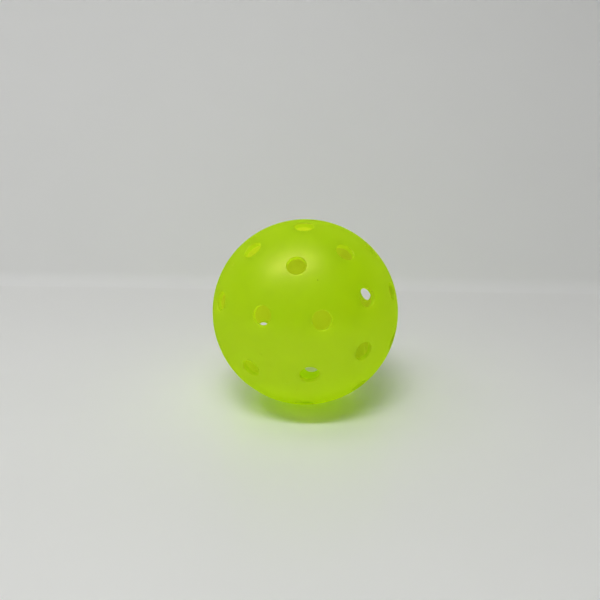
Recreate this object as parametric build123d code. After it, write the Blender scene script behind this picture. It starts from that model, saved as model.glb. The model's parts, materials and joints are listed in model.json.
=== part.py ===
from build123d import *
import os
from math import cos, radians, sin, sqrt

# A 40-hole outdoor pickleball, in millimetres. Two identical moulded half shells are welded rim to
# rim, and the weld is trimmed flush outside and left as a low bead inside.
# The mould frame has its origin at the ball's centre and +Z through the pole of the upper half
# shell. The finished ball is then turned to the attitude in which it lies at rest, with +Z up.

# Ball
ball_diameter = 74.0
wall = 1.85

# Holes: each half shell has three rings of them, counted from its pole to the equator
hole_diameter = 7.1
rim_round = 0.25  # rounding of both edges of each hole
pole_ring_angle = 20.6  # angle between a ring's holes and the pole, at the ball's centre
middle_ring_angle = 49.0
equator_ring_angle = 76.2
pole_ring_count = 4
full_ring_count = 8

# Weld at the equator
weld_thickness = 0.4  # fused layer between the two lips
lip_bevel = 0.5  # bevel on the inner edge of each lip, which the weld fills
bead_height = 0.35  # how far the bead stands into the ball from the inner wall

# Attitude at rest: the pole's heading and its tilt from the vertical, and the turn about the pole
pole_heading = -30.8
pole_tilt = 53.1
pole_spin = 12.6

outer_radius = ball_diameter / 2
inner_radius = outer_radius - wall
lip_height = weld_thickness / 2
full_ring_step = 360 / full_ring_count
stagger = full_ring_step / 2  # neighbouring rings are half a step apart


def radial_holes(polar_angle, count, first_turn):
    """Cylinders through the wall along radii, evenly spaced on one ring."""
    length = 4 * wall
    middle = outer_radius - wall / 2
    step = 360 / count
    drill = Pos(0, 0, middle) * Cylinder(hole_diameter / 2, length)
    return [Rot(Z=first_turn + i * step) * Rot(Y=polar_angle) * drill for i in range(count)]


def all_holes():
    """The holes of one half shell: a ring of four round the pole and two staggered rings of eight."""
    holes = radial_holes(pole_ring_angle, pole_ring_count, stagger)
    holes += radial_holes(middle_ring_angle, full_ring_count, 0)
    holes += radial_holes(equator_ring_angle, full_ring_count, stagger)
    return holes


def hole_rims(shell):
    """Both edges of every hole: all but the straight seam of each hole's round wall."""
    hole_walls = shell.faces().filter_by(GeomType.CYLINDER)
    return [e for f in hole_walls for e in f.edges() if e.geom_type != GeomType.LINE]


def plain_shell():
    """Hemispherical shell above the weld, its lip bevelled inside."""
    outer_lip = sqrt(outer_radius**2 - lip_height**2)
    bevel_top = lip_height + lip_bevel
    inner_lip = sqrt(inner_radius**2 - bevel_top**2)
    slant = radians(45)
    with BuildPart() as shell:
        with BuildSketch(Plane.XZ):
            with BuildLine():
                Line((0, inner_radius), (0, outer_radius))
                ThreePointArc(
                    (0, outer_radius),
                    (outer_radius * sin(slant), outer_radius * cos(slant)),
                    (outer_lip, lip_height),
                )
                Line((outer_lip, lip_height), (inner_lip + lip_bevel, lip_height))
                Line((inner_lip + lip_bevel, lip_height), (inner_lip, bevel_top))
                ThreePointArc(
                    (inner_lip, bevel_top),
                    (inner_radius * sin(slant), inner_radius * cos(slant)),
                    (0, inner_radius),
                )
            make_face()
        revolve(axis=Axis.Z)
    return shell.part


def half_shell():
    """One moulding, pole upwards: the shell with its rounded holes."""
    shell = plain_shell() - all_holes()
    return fillet(hole_rims(shell), rim_round)


def turned_over(shape):
    """The same moulding as the other half: turned over about a line in the equator."""
    return Rot(Z=stagger / 2) * Rot(X=180) * Rot(Z=-stagger / 2) * shape


def weld_bead():
    """The fused ring between the lips: flush outside, crowned inside."""
    outer_lip = sqrt(outer_radius**2 - lip_height**2)
    bevel_top = lip_height + lip_bevel
    inner_lip = sqrt(inner_radius**2 - bevel_top**2)
    with BuildPart() as bead:
        with BuildSketch(Plane.XZ):
            with BuildLine():
                ThreePointArc((outer_lip, lip_height), (outer_radius, 0), (outer_lip, -lip_height))
                Line((outer_lip, -lip_height), (inner_lip + lip_bevel, -lip_height))
                Line((inner_lip + lip_bevel, -lip_height), (inner_lip, -bevel_top))
                ThreePointArc(
                    (inner_lip, -bevel_top), (inner_lip - bead_height, 0), (inner_lip, bevel_top)
                )
                Line((inner_lip, bevel_top), (inner_lip + lip_bevel, lip_height))
                Line((inner_lip + lip_bevel, lip_height), (outer_lip, lip_height))
            make_face()
        revolve(axis=Axis.Z)
    return bead.part


def at_rest(shape):
    """Turn a shape from the mould frame to the ball's resting attitude."""
    return Rot(Z=pole_heading) * Rot(Y=pole_tilt) * Rot(Z=pole_spin) * shape


moulding = half_shell()
parts = {
    "upper_half_shell": at_rest(moulding),
    "lower_half_shell": at_rest(turned_over(moulding)),
    "weld_bead": at_rest(weld_bead()),
}

os.makedirs("parts", exist_ok=True)
for node, shape in parts.items():
    export_step(shape, f"parts/{node}.step")
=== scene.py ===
import json
import math

import bmesh
import bpy
import numpy as np
from mathutils import Euler, Matrix, Vector


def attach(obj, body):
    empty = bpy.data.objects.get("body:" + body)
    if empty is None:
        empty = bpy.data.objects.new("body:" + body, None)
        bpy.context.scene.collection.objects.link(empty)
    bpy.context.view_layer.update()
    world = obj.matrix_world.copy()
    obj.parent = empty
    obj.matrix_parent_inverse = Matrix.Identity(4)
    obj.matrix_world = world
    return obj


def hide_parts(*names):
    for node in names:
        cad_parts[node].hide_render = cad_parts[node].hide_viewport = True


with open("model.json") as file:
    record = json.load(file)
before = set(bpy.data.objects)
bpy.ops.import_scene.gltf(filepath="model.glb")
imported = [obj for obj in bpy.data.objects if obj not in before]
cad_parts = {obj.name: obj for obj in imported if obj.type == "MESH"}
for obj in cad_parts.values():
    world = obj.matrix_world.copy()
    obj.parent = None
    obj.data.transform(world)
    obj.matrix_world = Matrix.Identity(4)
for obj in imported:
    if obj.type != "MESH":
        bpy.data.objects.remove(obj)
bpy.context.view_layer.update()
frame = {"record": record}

# ---------------------------------------------------------------- sizes, in metres
MM = 0.001
mounts = {m["name"]: m for m in frame["record"]["mounts"]}
ball_radius = -mounts["rest_point"]["pos_m"][2]
hole_radius = mounts["tether_hole_upper"]["dims"]["r_mm"] * MM
wall = 1.85 * MM
rim_round = 0.25 * MM
inner_radius = ball_radius - wall

# Rings of holes on one half shell: angle from the pole, number of holes, turn of the first one
HALF_STEP = math.radians(22.5)
HOLE_RINGS = [
    (math.radians(20.6), 4, HALF_STEP),
    (math.radians(49.0), 8, 0.0),
    (math.radians(76.2), 8, HALF_STEP),
]

# Weld at the equator
lip_height = 0.2 * MM
lip_bevel = 0.5 * MM
bead_height = 0.35 * MM
FUSED = 1  # material number of the faces that the weld joins

# Attitude at rest, from the mould frame with the pole up
POLE_HEADING = math.radians(-30.8)
POLE_TILT = math.radians(53.1)
POLE_SPIN = math.radians(12.6)
AT_REST = (
    Matrix.Rotation(POLE_HEADING, 3, "Z")
    @ Matrix.Rotation(POLE_TILT, 3, "Y")
    @ Matrix.Rotation(POLE_SPIN, 3, "Z")
)
TURNED_OVER = (
    Matrix.Rotation(HALF_STEP / 2, 3, "Z")
    @ Matrix.Rotation(math.pi, 3, "X")
    @ Matrix.Rotation(-HALF_STEP / 2, 3, "Z")
)

# Fineness of the meshes
RIM_POINTS = 72  # round each hole
LIP_POINTS = 384  # round the equator
ROUND_POINTS = 6  # across the rounding of a hole's edge
OUTER_SPACING = 0.62 * MM
INNER_SPACING = 0.9 * MM
HOLE_RINGS_OUT = (0.0, 0.3 * MM, 0.75 * MM, 1.35 * MM)  # rings of points round each hole
FEWER_OUTWARDS = 8  # points fewer on each such ring than on the one inside it
EDGE_ROWS_UP = (0.0, 0.3 * MM, 0.75 * MM)  # rows of points along the edge
CLEAR_OF_ROWS = 0.7  # of the spacing, from the last ring or row to the points that fill a skin
SHARP_ANGLE = math.radians(32)  # edges bent more than this keep their corner
CROWN_ROWS = 9  # of the bead
CROWN_SWAY = 0.04 * MM  # how uneven the bead's crown is


# ---------------------------------------------------------------- shell meshes
def hole_frames():
    """For each hole of a half shell: its axis and two directions across it, as unit vectors."""
    frames = []
    for polar, count, first in HOLE_RINGS:
        for i in range(count):
            turn = first + 2 * math.pi * i / count
            spin = Matrix.Rotation(turn, 3, "Z") @ Matrix.Rotation(polar, 3, "Y")
            axes = ((0, 0, 1), (1, 0, 0), (0, 1, 0))
            frames.append(tuple(np.array(spin @ Vector(axis)) for axis in axes))
    return frames


HOLES = hole_frames()


def ring_round(hole, reach, height, count=RIM_POINTS, shift=0.0):
    """Points of a circle round a hole's axis.

    reach is its radius, and height how far along the axis it lies from the ball's centre.
    """
    axis, across, up = hole
    turn = 2 * math.pi * (np.arange(count) + shift) / count
    return height * axis + reach * (np.cos(turn)[:, None] * across + np.sin(turn)[:, None] * up)


def level_ring(turn, reach, height):
    """Points of a circle round the pole, at one height."""
    return np.c_[reach * np.cos(turn), reach * np.sin(turn), np.full(len(turn), height)]


def rim_profile():
    """Reach and height of the rings that line a hole, from the outer skin to the inner skin."""
    reach = hole_radius + rim_round
    outer = math.sqrt((ball_radius - rim_round) ** 2 - reach**2)
    inner = math.sqrt((inner_radius + rim_round) ** 2 - reach**2)
    profile = []
    for share in np.linspace(0, 1, ROUND_POINTS):
        angle = math.atan2(outer, reach) * (1 - share) + math.pi * share
        profile.append((reach + rim_round * math.cos(angle), outer + rim_round * math.sin(angle)))
    for share in (0.33, 0.67):
        profile.append((hole_radius, outer * (1 - share) + inner * share))
    for share in np.linspace(0, 1, ROUND_POINTS):
        angle = math.pi * (1 - share) + (math.atan2(-inner, -reach) + 2 * math.pi) * share
        profile.append((reach + rim_round * math.cos(angle), inner + rim_round * math.sin(angle)))
    return profile


def even_points(radius, spacing):
    """Points spread evenly over the upper half of a sphere, on a spiral."""
    count = int(4 * math.pi * radius**2 / (spacing**2 * math.sqrt(3) / 2))
    k = np.arange(count // 2) + 0.5
    height = 1 - 2 * k / count
    turn = math.pi * (1 + math.sqrt(5)) * k
    level = np.sqrt(1 - height**2)
    return radius * np.c_[level * np.cos(turn), level * np.sin(turn), height]


def skin(radius, rim, lip, spacing):
    """A perforated half sphere: its points, its triangles, and its boundary rings' point numbers.

    rim is a hole's reach on this skin, and lip the height of its edge. Rings of points round every
    hole and along the edge keep the triangles even there.
    """
    groups = []
    for hole in HOLES:
        for n, out in enumerate(HOLE_RINGS_OUT):
            reach = rim + out
            height = math.sqrt(radius**2 - reach**2)
            count = RIM_POINTS - FEWER_OUTWARDS * n
            groups.append(ring_round(hole, reach, height, count, 0.5 * (n % 2)))
    edge_rows = []
    for n, up in enumerate(EDGE_ROWS_UP):
        height = lip + up
        level = math.sqrt(radius**2 - height**2)
        turn = 2 * math.pi * (np.arange(LIP_POINTS) + 0.5 * (n % 2)) / LIP_POINTS
        edge_rows.append(level_ring(turn, level, height))
    filler = even_points(radius, spacing)
    keep = filler[:, 2] > lip + EDGE_ROWS_UP[-1] + CLEAR_OF_ROWS * spacing
    clear_reach = rim + HOLE_RINGS_OUT[-1] + CLEAR_OF_ROWS * spacing
    nearest = math.cos(math.asin(clear_reach / radius))
    for axis, _, _ in HOLES:
        keep &= filler @ axis < radius * nearest
    points = np.vstack(groups + edge_rows + [filler[keep]])
    ring_of = np.full(len(points), -1)
    rings = []
    start = 0
    for n, group in enumerate(groups + edge_rows):
        is_rim = n < len(groups) and n % len(HOLE_RINGS_OUT) == 0
        if is_rim or n == len(groups):
            ring_of[start : start + len(group)] = len(rings)
            rings.append(np.arange(start, start + len(group)))
        start += len(group)
    hull = bmesh.new()
    for p in points / radius:
        hull.verts.new(p)
    hull.verts.ensure_lookup_table()
    hull.verts.index_update()
    bmesh.ops.convex_hull(hull, input=hull.verts)
    triangles = np.array([[v.index for v in f.verts] for f in hull.faces])
    hull.free()
    of = ring_of[triangles]
    closing = (of[:, 0] >= 0) & (of[:, 0] == of[:, 1]) & (of[:, 1] == of[:, 2])
    return points, triangles[~closing], rings


def quads_between(one, other):
    """Four-sided faces between two rings of as many points."""
    return np.c_[one, np.roll(one, -1), np.roll(other, -1), other]


def half_shell_mesh(name):
    """One moulding, pole up: both skins, the rounded holes and the bevelled lip, all joined up."""
    profile = rim_profile()
    outer = skin(ball_radius, profile[0][0], lip_height, OUTER_SPACING)
    bevel_top = lip_height + lip_bevel
    inner = skin(inner_radius, profile[-1][0], bevel_top, INNER_SPACING)
    points = [outer[0], inner[0]]
    faces = [outer[1], inner[1] + len(outer[0])]
    count = len(outer[0]) + len(inner[0])
    outer_rings = outer[2]
    inner_rings = [ring + len(outer[0]) for ring in inner[2]]
    for hole, first, last in zip(HOLES, outer_rings, inner_rings):
        previous = first
        for reach, height in profile[1:-1]:
            points.append(ring_round(hole, reach, height))
            ring = np.arange(count, count + RIM_POINTS)
            faces.append(quads_between(previous, ring))
            previous = ring
            count += RIM_POINTS
        faces.append(quads_between(previous, last))
    turn = 2 * math.pi * np.arange(LIP_POINTS) / LIP_POINTS
    level = math.sqrt(inner_radius**2 - bevel_top**2) + lip_bevel
    points.append(level_ring(turn, level, lip_height))
    bevel = np.arange(count, count + LIP_POINTS)
    faces.append(quads_between(outer_rings[-1], bevel))
    faces.append(quads_between(bevel, inner_rings[-1]))
    mesh = bpy.data.meshes.new(name)
    face_list = [face.tolist() for block in faces for face in block]
    mesh.from_pydata(np.vstack(points).tolist(), [], face_list)
    lip_faces = 2 * LIP_POINTS
    for face in mesh.polygons[len(mesh.polygons) - lip_faces :]:
        face.material_index = FUSED
    return mesh


def weld_bead_mesh(name):
    """The ring between the lips: flush outside, crowned and a little uneven inside."""
    level = math.sqrt(ball_radius**2 - lip_height**2)
    bevel_top = lip_height + lip_bevel
    inner_lip = math.sqrt(inner_radius**2 - bevel_top**2)
    section = [(level, lip_height), (ball_radius, 0.0), (level, -lip_height)]
    section += [(inner_lip + lip_bevel, -lip_height), (inner_lip, -bevel_top)]
    crown_starts = len(section)
    for share in np.linspace(-1, 1, CROWN_ROWS)[1:-1]:
        section.append((inner_lip - bead_height * (1 - share**2), bevel_top * share))
    crown_ends = len(section)
    section += [(inner_lip, bevel_top), (inner_lip + lip_bevel, lip_height)]
    points = []
    for i in range(LIP_POINTS):
        turn = 2 * math.pi * i / LIP_POINTS
        sway = CROWN_SWAY * (math.sin(7 * turn) + 0.7 * math.sin(19 * turn + 1.3))
        for n, (reach, height) in enumerate(section):
            on_crown = crown_starts <= n < crown_ends
            r = reach + (sway if on_crown else 0.0)
            points.append((r * math.cos(turn), r * math.sin(turn), height))
    rows = len(section)
    fused_rows = (2, 3, rows - 2, rows - 1)
    faces = []
    for i in range(LIP_POINTS):
        here, there = i * rows, (i + 1) % LIP_POINTS * rows
        for n in range(rows):
            m = (n + 1) % rows
            faces.append((here + n, here + m, there + m, there + n))
    mesh = bpy.data.meshes.new(name)
    mesh.from_pydata(points, [], faces)
    for n, face in enumerate(mesh.polygons):
        if n % rows in fused_rows:
            face.material_index = FUSED
    return mesh


def finish_mesh(mesh, turn):
    """Turn a mesh to its place, face it outwards and shade it smooth, but keep its corners."""
    mesh.transform(turn.to_4x4())
    made = bmesh.new()
    made.from_mesh(mesh)
    bmesh.ops.recalc_face_normals(made, faces=made.faces)
    for edge in made.edges:
        if len(edge.link_faces) == 2 and edge.calc_face_angle() > SHARP_ANGLE:
            edge.smooth = False
    for face in made.faces:
        face.smooth = True
    made.to_mesh(mesh)
    made.free()
    return mesh


def add_piece(mesh, materials, node):
    """Put a mesh in the scene in place of its CAD node."""
    piece = bpy.data.objects.new(mesh.name, mesh)
    bpy.context.scene.collection.objects.link(piece)
    for material in materials:
        mesh.materials.append(material)
    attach(piece, "root")
    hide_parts(node)


# ---------------------------------------------------------------- materials
SHARE_THROUGH = 0.86  # of the light that meets a face of the plastic
SHADOW_TINT = (0.30, 0.39, 0.02)  # what each face leaves of a lamp's light that goes on forwards

# Colours of the plastic, in pairs between which its clouds change
SENT_BACK = ((0.42, 0.95, 0.035), (0.48, 0.99, 0.045))
LET_THROUGH = ((0.88, 0.965, 0.115), (0.895, 0.975, 0.125))
LET_THROUGH_INSIDE = (0.975, 1.06, 0.20)  # at the inner skin
LET_THROUGH_IN_WALL = (0.84, 0.97, 0.12)  # at the sides of the holes
SPECK_SENT_BACK = (0.12, 0.16, 0.02)
SPECK_LET_THROUGH = (0.26, 0.28, 0.02)
GLOSS_TINT = (1.0, 0.80, 0.25)
FUSED_COLOUR = (0.45, 0.80, 0.05)
SKIN_DEPTHS = (0.10 * MM, 0.35 * MM)  # below a skin, between which the plastic turns to wall
CLOUD_RANGE = (0.3, 0.7)  # of the noise that makes the clouds

TABLE_COLOURS = ((0.875, 0.879, 0.86), (0.895, 0.899, 0.88))
BACKDROP_COLOURS = ((0.905, 0.91, 0.895), (0.925, 0.93, 0.915))


def new_material(name):
    """A material with a Principled shader. Gives the material, its node tree and the shader."""
    material = bpy.data.materials.new(name)
    material.use_nodes = True
    tree = material.node_tree
    return material, tree, tree.nodes["Principled BSDF"]


def noise(tree, scale, detail, roughness, where):
    node = tree.nodes.new("ShaderNodeTexNoise")
    node.inputs["Scale"].default_value = scale
    node.inputs["Detail"].default_value = detail
    node.inputs["Roughness"].default_value = roughness
    tree.links.new(where, node.inputs["Vector"])
    return node.outputs["Fac"]


def ramp(tree, value, low, high, out_low, out_high):
    """Map a value from one range to another, clamped."""
    node = tree.nodes.new("ShaderNodeMapRange")
    limits = {"From Min": low, "From Max": high, "To Min": out_low, "To Max": out_high}
    for name, number in limits.items():
        node.inputs[name].default_value = number
    tree.links.new(value, node.inputs["Value"])
    return node.outputs["Result"]


def mix_colour(tree, share, one, other):
    """Mix two colours, each a socket or a plain colour."""
    node = tree.nodes.new("ShaderNodeMix")
    node.data_type = "RGBA"
    tree.links.new(share, node.inputs["Factor"])
    for socket, colour in ((node.inputs[6], one), (node.inputs[7], other)):
        if isinstance(colour, tuple):
            socket.default_value = (*colour, 1.0)
        else:
            tree.links.new(colour, socket)
    return node.outputs[2]


def bump(tree, height, distance, strength, before=None):
    node = tree.nodes.new("ShaderNodeBump")
    node.inputs["Distance"].default_value = distance
    node.inputs["Strength"].default_value = strength
    tree.links.new(height, node.inputs["Height"])
    if before is not None:
        tree.links.new(before, node.inputs["Normal"])
    return node.outputs["Normal"]


def switch(tree, ray, otherwise, on_ray):
    """Show one shader to a kind of ray and another to all others."""
    either = tree.nodes.new("ShaderNodeMixShader")
    tree.links.new(tree.nodes.new("ShaderNodeLightPath").outputs[ray], either.inputs[0])
    tree.links.new(otherwise.outputs[0], either.inputs[1])
    tree.links.new(on_ray.outputs[0], either.inputs[2])
    tree.links.new(either.outputs[0], tree.nodes["Material Output"].inputs["Surface"])


def product(tree, one, other):
    node = tree.nodes.new("ShaderNodeMath")
    node.operation = "MULTIPLY"
    tree.links.new(one, node.inputs[0])
    tree.links.new(other, node.inputs[1])
    return node.outputs[0]


def specks(tree, where):
    """1 in rare small dots and 0 elsewhere."""
    cells = tree.nodes.new("ShaderNodeTexVoronoi")
    cells.inputs["Scale"].default_value = 130
    tree.links.new(where, cells.inputs["Vector"])
    rare = noise(tree, 75, 1, 0.5, where)
    near = ramp(tree, cells.outputs["Distance"], 0.018, 0.034, 1, 0)
    return product(tree, near, ramp(tree, rare, 0.60, 0.66, 0, 0.7))


def depths(tree, where):
    """Two masks by distance from the ball's centre: off the inner skin, and within the wall."""
    from_centre = tree.nodes.new("ShaderNodeVectorMath")
    from_centre.operation = "LENGTH"
    tree.links.new(where, from_centre.inputs[0])
    depth = from_centre.outputs["Value"]
    near, far = SKIN_DEPTHS
    below_skin = ramp(tree, depth, ball_radius - near, ball_radius - far, 0, 1)
    off_inside = ramp(tree, depth, inner_radius + near, inner_radius + far, 0, 1)
    return off_inside, product(tree, below_skin, off_inside)


def lime_plastic(name):
    """Satin lime polyethylene, thin enough for light to come through the wall and fill the ball.

    Every face sends a small part of the light back and scatters the rest through. The inner skin
    lets through slightly more green than it gets, which stands for scattering inside the wall.
    A lamp's own light also goes straight on through each face, tinted, and lights what lies beyond.
    """
    material, tree, shader = new_material(name)
    where = tree.nodes.new("ShaderNodeTexCoord").outputs["Object"]
    clouds = ramp(tree, noise(tree, 55, 4, 0.55, where), *CLOUD_RANGE, 0, 1)
    speck = specks(tree, where)
    off_inside, in_wall = depths(tree, where)
    sent_back = mix_colour(tree, clouds, *SENT_BACK)
    sent_back = mix_colour(tree, speck, sent_back, SPECK_SENT_BACK)
    let_through = mix_colour(tree, clouds, *LET_THROUGH)
    let_through = mix_colour(tree, speck, let_through, SPECK_LET_THROUGH)
    let_through = mix_colour(tree, off_inside, LET_THROUGH_INSIDE, let_through)
    let_through = mix_colour(tree, in_wall, let_through, LET_THROUGH_IN_WALL)
    tree.links.new(sent_back, shader.inputs["Base Color"])
    shader.inputs["IOR"].default_value = 3.0
    shader.inputs["Specular Tint"].default_value = (*GLOSS_TINT, 1.0)
    gloss = ramp(tree, in_wall, 0, 1, 1, 0.15)
    tree.links.new(gloss, shader.inputs["Specular IOR Level"])
    tree.links.new(ramp(tree, clouds, 0, 1, 0.34, 0.42), shader.inputs["Roughness"])
    waves = bump(tree, noise(tree, 120, 2, 0.5, where), 0.00012, 0.35)
    grain = bump(tree, noise(tree, 1400, 3, 0.6, where), 0.00003, 0.6, waves)
    tree.links.new(grain, shader.inputs["Normal"])
    through = tree.nodes.new("ShaderNodeBsdfTranslucent")
    tree.links.new(let_through, through.inputs["Color"])
    tree.links.new(grain, through.inputs["Normal"])
    wall_face = tree.nodes.new("ShaderNodeMixShader")
    wall_face.inputs[0].default_value = SHARE_THROUGH
    tree.links.new(shader.outputs[0], wall_face.inputs[1])
    tree.links.new(through.outputs[0], wall_face.inputs[2])
    straight = tree.nodes.new("ShaderNodeBsdfTransparent")
    straight.inputs["Color"].default_value = (*SHADOW_TINT, 1.0)
    switch(tree, "Is Shadow Ray", wall_face, straight)
    return material


def fused_plastic(name):
    """The faces inside the weld: the plastic runs on there, so light goes through untouched.

    To a camera ray they are plain plastic, solid and not clear. None reaches them in the closed
    ball, but the exported model takes its colour from that side of the switch, so there they are
    solid and not clear.
    """
    material, tree, shader = new_material(name)
    shader.inputs["Base Color"].default_value = (*FUSED_COLOUR, 1.0)
    shader.inputs["Roughness"].default_value = 0.4
    switch(tree, "Is Camera Ray", tree.nodes.new("ShaderNodeBsdfTransparent"), shader)
    return material


def clouded(tree, clouds, colours):
    """A colour that changes softly between two."""
    return mix_colour(tree, ramp(tree, clouds, *CLOUD_RANGE, 0, 1), *colours)


def table_top():
    """Pale laminate with a soft gloss."""
    material, tree, shader = new_material("table_laminate")
    where = tree.nodes.new("ShaderNodeTexCoord").outputs["Object"]
    clouds = noise(tree, 9, 5, 0.6, where)
    tree.links.new(clouded(tree, clouds, TABLE_COLOURS), shader.inputs["Base Color"])
    tree.links.new(ramp(tree, clouds, *CLOUD_RANGE, 0.30, 0.36), shader.inputs["Roughness"])
    fine = bump(tree, noise(tree, 900, 3, 0.6, where), 0.00002, 0.2)
    tree.links.new(fine, shader.inputs["Normal"])
    return material


def backdrop_paper():
    """Matt pale card."""
    material, tree, shader = new_material("backdrop_card")
    where = tree.nodes.new("ShaderNodeTexCoord").outputs["Object"]
    clouds = noise(tree, 6, 4, 0.6, where)
    tree.links.new(clouded(tree, clouds, BACKDROP_COLOURS), shader.inputs["Base Color"])
    shader.inputs["Roughness"].default_value = 0.7
    return material


# ---------------------------------------------------------------- stage
FOLD_BEHIND = 156 * MM  # from the ball's centre to where the backdrop rises
FOLD_TURN = math.radians(-2.0)
FOLD_BEND = 14 * MM  # radius
FOLD_STEPS = 8
BACKDROP_LEAN = math.radians(28)  # back from upright
BACKDROP_HIGH = 1.4
TABLE_FRONT = -1.6
STAGE_HALF_WIDTH = 1.6


def add_stage():
    """A table top, and a backdrop that rises from it behind the ball and leans back."""
    bend_starts = FOLD_BEHIND - FOLD_BEND
    profile = [(TABLE_FRONT, 0.0), (bend_starts, 0.0)]
    for i in range(1, FOLD_STEPS + 1):
        angle = (math.radians(90) - BACKDROP_LEAN) * i / FOLD_STEPS
        forward, rise = FOLD_BEND * math.sin(angle), FOLD_BEND - FOLD_BEND * math.cos(angle)
        profile.append((bend_starts + forward, rise))
    foot, rise = profile[-1]
    profile.append((foot + BACKDROP_HIGH * math.tan(BACKDROP_LEAN), rise + BACKDROP_HIGH))
    points, faces = [], []
    for y, z in profile:
        points += [(side, y, z - ball_radius) for side in (-STAGE_HALF_WIDTH, STAGE_HALF_WIDTH)]
    for i in range(len(profile) - 1):
        faces.append((2 * i, 2 * i + 1, 2 * i + 3, 2 * i + 2))
    mesh = bpy.data.meshes.new("stage_sweep")
    mesh.from_pydata(points, [], faces)
    mesh.transform(Matrix.Rotation(FOLD_TURN, 4, "Z"))
    for face in mesh.polygons:
        face.use_smooth = True
    mesh.materials.append(table_top())
    mesh.materials.append(backdrop_paper())
    for n, face in enumerate(mesh.polygons):
        face.material_index = 0 if n < 1 else 1
    sweep = bpy.data.objects.new("stage_sweep", mesh)
    bpy.context.scene.collection.objects.link(sweep)


LIGHTS = (  # name, place, width, length towards the back, power, rays that it lights
    ("key_strip", (-0.12, -0.42, 0.92), 0.74, 0.10, 4.4, "matt"),
    ("key_middle", (-0.12, -0.42, 0.92), 0.30, 0.10, 2.6, "matt"),
    ("side_strip", (-0.64, -0.10, 0.86), 0.10, 0.55, 1.75, "all"),
    ("window_left", (-0.71, -0.47, 0.59), 0.25, 0.26, 0.90, "all"),
    ("ceiling", (-0.10, 0.0, 0.95), 0.60, 0.35, 0.90, "all"),
    ("glint_strip", (-0.26, -0.20, 0.93), 0.80, 0.14, 5.2, "gloss"),
)
SKY_TOWARDS = (-0.50, -0.35, 0.79)  # where the surroundings are brightest
SKY_STRENGTH = 0.22
WALL_SHOWN = 0.56  # how bright the surroundings look to the camera
BOUNCES = 32  # the glow inside the ball builds up over many


def add_light(name, place, wide, long, power, lit):
    """A soft white rectangle above the ball, tipped outwards from it and not towards it.

    One that is wider than long stays level sideways. The powers were set with this tilt. lit is
    all, matt for a light with no reflection, or gloss for one seen only as a reflection.
    """
    light = bpy.data.lights.new(name, "AREA")
    light.shape = "RECTANGLE"
    light.size = wide
    light.size_y = long
    light.energy = power
    lamp = bpy.data.objects.new(name, light)
    x, y, z = place
    sideways = math.atan2(-x, z) if wide < long else 0
    lamp.location = place
    lamp.rotation_euler = Euler((math.atan2(y, z), sideways, 0))
    lamp.visible_glossy = lit != "matt"
    lamp.visible_diffuse = lit != "gloss"
    lamp.visible_transmission = lit != "gloss"
    bpy.context.scene.collection.objects.link(lamp)


def add_world():
    """White surroundings, brighter overhead and at the front left than elsewhere.

    Behind the stage's edges they show as a pale wall.
    """
    world = bpy.data.worlds.new("studio")
    world.use_nodes = True
    tree = world.node_tree
    background = tree.nodes["Background"]
    towards = tree.nodes.new("ShaderNodeVectorMath")
    towards.operation = "DOT_PRODUCT"
    towards.inputs[1].default_value = SKY_TOWARDS
    direction = tree.nodes.new("ShaderNodeTexCoord").outputs["Generated"]
    tree.links.new(direction, towards.inputs[0])
    shown = tree.nodes.new("ShaderNodeMix")
    to_camera = tree.nodes.new("ShaderNodeLightPath").outputs["Is Camera Ray"]
    tree.links.new(to_camera, shown.inputs["Factor"])
    strength = ramp(tree, towards.outputs["Value"], 0.1, 0.95, 0.0, SKY_STRENGTH)
    tree.links.new(strength, shown.inputs["A"])
    shown.inputs["B"].default_value = WALL_SHOWN
    tree.links.new(shown.outputs["Result"], background.inputs["Strength"])
    background.inputs["Color"].default_value = (1.0, 1.0, 1.0, 1.0)
    bpy.context.scene.world = world


# ---------------------------------------------------------------- camera
CAMERA_DISTANCE = 250 * MM
CAMERA_ELEVATION = math.radians(20.0)
AIM_UP = math.radians(1.073)  # the ball lies a little below the middle of the view
AIM_LEFT = math.radians(0.508)  # and a little right of it
LENS = 37.17  # mm, with the sensor below
SENSOR_WIDTH = 36.0


def add_camera():
    data = bpy.data.cameras.new("camera")
    data.lens = LENS
    data.sensor_width = SENSOR_WIDTH
    data.clip_start, data.clip_end = 0.01, 20.0
    camera = bpy.data.objects.new("camera", data)
    towards = Vector((0, -math.cos(CAMERA_ELEVATION), math.sin(CAMERA_ELEVATION)))
    camera.location = CAMERA_DISTANCE * towards
    camera.rotation_euler = Euler((math.radians(90) - CAMERA_ELEVATION + AIM_UP, 0, AIM_LEFT))
    bpy.context.scene.collection.objects.link(camera)
    bpy.context.scene.camera = camera


# ---------------------------------------------------------------- the scene
add_camera()

shell_plastic = lime_plastic("lime_plastic_satin")
weld_plastic = lime_plastic("lime_plastic_weld")
upper = finish_mesh(half_shell_mesh("upper_half_shell_skin"), AT_REST)
lower = finish_mesh(half_shell_mesh("lower_half_shell_skin"), AT_REST @ TURNED_OVER)
bead = finish_mesh(weld_bead_mesh("weld_bead_ring"), AT_REST)
fused_faces = fused_plastic("lime_plastic_fused")
add_piece(upper, (shell_plastic, fused_faces), "upper_half_shell")
add_piece(lower, (shell_plastic, fused_faces), "lower_half_shell")
add_piece(bead, (weld_plastic, fused_faces), "weld_bead")

add_stage()
add_world()
for settings in LIGHTS:
    add_light(*settings)
bpy.context.scene.view_settings.view_transform = "Standard"

light_paths = bpy.context.scene.cycles
light_paths.max_bounces = BOUNCES
light_paths.diffuse_bounces = BOUNCES
light_paths.transmission_bounces = BOUNCES
